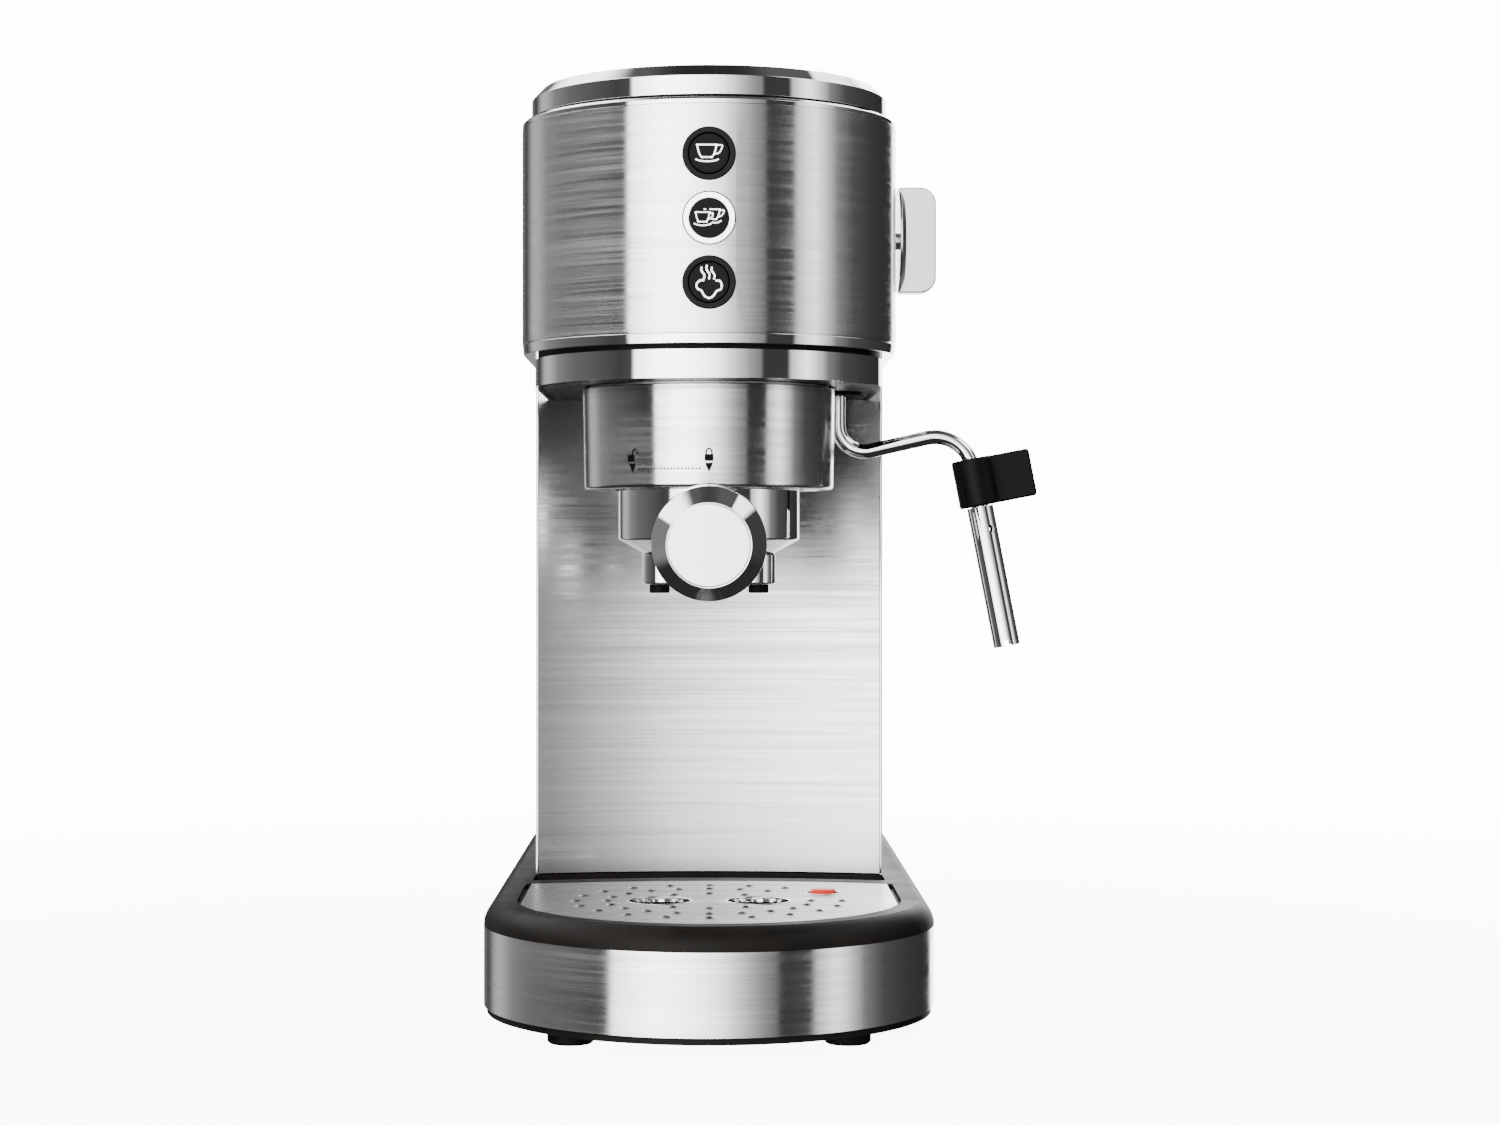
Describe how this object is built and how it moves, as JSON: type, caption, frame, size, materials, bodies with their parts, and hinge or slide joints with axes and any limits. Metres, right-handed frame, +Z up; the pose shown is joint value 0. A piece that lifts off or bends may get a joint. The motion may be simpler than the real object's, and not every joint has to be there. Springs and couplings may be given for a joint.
{
  "type": "espresso machine",
  "caption": "Slim pump espresso machine with round-fronted steel head, lever-handled portafilter, side steam knob, bent steam wand, pull-out drip tray and rear water tank.",
  "frame": {"origin": "the point of the worktop under the brew group's axis", "axes": "+Z up, +Y from the front to the back, +X to the user's right"},
  "size_m": [0.1882, 0.4243, 0.3092],
  "materials": {
    "brushed_steel": "fine brushed stainless steel",
    "polished_steel": "polished",
    "black_plastic": "satin moulded plastic",
    "rubber": "matt rubber",
    "screw_steel": "zinc-plated steel",
    "grid_steel": "satin stainless steel",
    "float_red": "glossy moulded plastic",
    "frame_plastic": "matt moulded plastic",
    "gloss_black": "glossy moulded plastic",
    "pump_body": "painted coil housing",
    "hose": "silicone hose",
    "cup_plate": "satin stainless steel",
    "dark_metal": "satin dark paint",
    "cast_aluminium": "cast aluminium",
    "screen_steel": "stamped stainless steel",
    "brass": "machined brass",
    "circuit_board": "coated circuit board",
    "grip_black": "soft matt black grip",
    "tank_clear": "smoke-tinted clear plastic",
    "ring_lit": "translucent light ring, lit"
  },
  "bodies": {
    "machine": {"base_plate": "black_plastic", "base_feet": "rubber", "base_screws": "screw_steel", "base_housing": "black_plastic", "base_band": "brushed_steel", "cord_gland": "black_plastic", "column_panel": "brushed_steel", "column_wrap": "brushed_steel", "chassis": "frame_plastic", "switch_frame": "black_plastic", "pump": "pump_body", "pump_mounts": "rubber", "flow_meter": "frame_plastic", "suction_hose": "hose", "pressure_hose": "hose", "head_carrier": "black_plastic", "head_shell": "brushed_steel", "head_skirt": "polished_steel", "lower_ring": "polished_steel", "head_top_trim": "polished_steel", "head_top_ring": "polished_steel", "cup_warmer_plate": "cup_plate", "underside_plate": "dark_metal", "wand_bush": "rubber", "group_collar": "brushed_steel", "brew_head": "cast_aluminium", "group_gasket": "rubber", "shower_screen": "screen_steel", "shower_screw": "screw_steel", "thermoblock": "cast_aluminium", "thermostats": "brass", "steam_valve": "brass", "control_board": "circuit_board", "tank_seat": "black_plastic", "ring_one_cup": "gloss_black", "ring_two_cups": "ring_lit", "ring_steam": "gloss_black"},
    "button_one_cup": {"button_one_cup": "gloss_black"},
    "button_two_cups": {"button_two_cups": "gloss_black"},
    "button_steam": {"button_steam": "gloss_black"},
    "power_rocker": {"power_rocker": "gloss_black"},
    "steam_knob": {"steam_knob": "polished_steel"},
    "portafilter": {"portafilter_body": "polished_steel", "filter_basket": "screen_steel", "spout_block": "polished_steel", "spout_tips": "rubber", "handle_grip": "grip_black", "handle_end_cap": "polished_steel"},
    "wand": {"wand_pipe": "polished_steel", "wand_grip": "grip_black", "wand_nozzle": "polished_steel"},
    "frother": {"frother_sleeve": "polished_steel"},
    "drip_tray": {"tray_band": "brushed_steel", "tray_rim": "black_plastic", "tray_basin": "black_plastic"},
    "grid": {"drip_grid": "grid_steel"},
    "float": {"tray_float": "float_red"},
    "tank": {"water_tank": "tank_clear", "lid_pin": "screw_steel"},
    "lid": {"tank_lid": "gloss_black"}
  },
  "joints": [
    {"name": "button_one_cup_press", "type": "slide", "parent": "machine", "child": "button_one_cup", "axis": [0, 1, 0], "range_m": [0, 0.0015], "stiffness_N_per_m": 600, "springref_m": -0.0015},
    {"name": "button_two_cups_press", "type": "slide", "parent": "machine", "child": "button_two_cups", "axis": [0, 1, 0], "range_m": [0, 0.0015], "stiffness_N_per_m": 600, "springref_m": -0.0015},
    {"name": "button_steam_press", "type": "slide", "parent": "machine", "child": "button_steam", "axis": [0, 1, 0], "range_m": [0, 0.0015], "stiffness_N_per_m": 600, "springref_m": -0.0015},
    {"name": "power_rock", "type": "hinge", "parent": "machine", "child": "power_rocker", "pos_m": [-0.0572, 0.114, 0.164], "axis": [0, 1, 0], "range_deg": [-14, 0]},
    {"name": "steam_turn", "type": "hinge", "parent": "machine", "child": "steam_knob", "pos_m": [0.0648, 0.03, 0.2631], "axis": [1, 0, 0], "range_deg": [0, 120]},
    {"name": "portafilter_turn", "type": "hinge", "parent": "machine", "child": "portafilter", "pos_m": [0, 0, 0.185], "axis": [0, 0, 1], "range_deg": [-40, 0]},
    {"name": "wand_swivel", "type": "hinge", "parent": "machine", "child": "wand", "pos_m": [0.0442, 0.025, 0.2107], "axis": [0, 0, 1], "range_deg": [-70, 45]},
    {"name": "frother_slide", "type": "slide", "parent": "wand", "child": "frother", "axis": [0.1908, 0, -0.9816], "range_m": [0, 0.03]},
    {"name": "tray_slide", "type": "slide", "parent": "machine", "child": "drip_tray", "axis": [0, -1, 0], "range_m": [0, 0.12]},
    {"name": "grid_lift", "type": "slide", "parent": "drip_tray", "child": "grid", "axis": [0, 0, 1], "range_m": [0, 0.03]},
    {"name": "float_rise", "type": "slide", "parent": "drip_tray", "child": "float", "axis": [0, 0, 1], "range_m": [0, 0.006]},
    {"name": "tank_lift", "type": "slide", "parent": "machine", "child": "tank", "axis": [0, 0, 1], "range_m": [0, 0.12]},
    {"name": "lid_open", "type": "hinge", "parent": "tank", "child": "lid", "pos_m": [0, 0.2474, 0.2976], "axis": [-1, 0, 0], "range_deg": [0, 95]}
  ]
}
